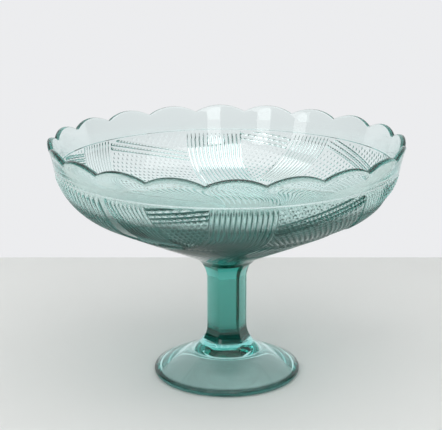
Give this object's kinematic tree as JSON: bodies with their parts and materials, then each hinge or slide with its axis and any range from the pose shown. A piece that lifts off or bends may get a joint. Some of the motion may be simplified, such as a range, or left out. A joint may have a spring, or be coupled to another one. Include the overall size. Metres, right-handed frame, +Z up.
{
  "type": "footed compote bowl",
  "caption": "Footed compote bowl: a wide scalloped bowl of pressed blue-green glass with a relief belt, on a faceted stem and a round foot, for serving fruit or sweets.",
  "frame": {"origin": "centre of the circle that the foot stands on, at the level of the table", "axes": "+Z up the axis of the stem and bowl, -Y towards the front of the picture, +X to its right"},
  "size_m": [0.192, 0.192, 0.1331],
  "materials": {
    "teal_glass": "fire-polished clear glass"
  },
  "bodies": {
    "root": {"bowl": "teal_glass", "joining_wafer": "teal_glass", "stem": "teal_glass", "foot": "teal_glass"}
  },
  "joints": []
}
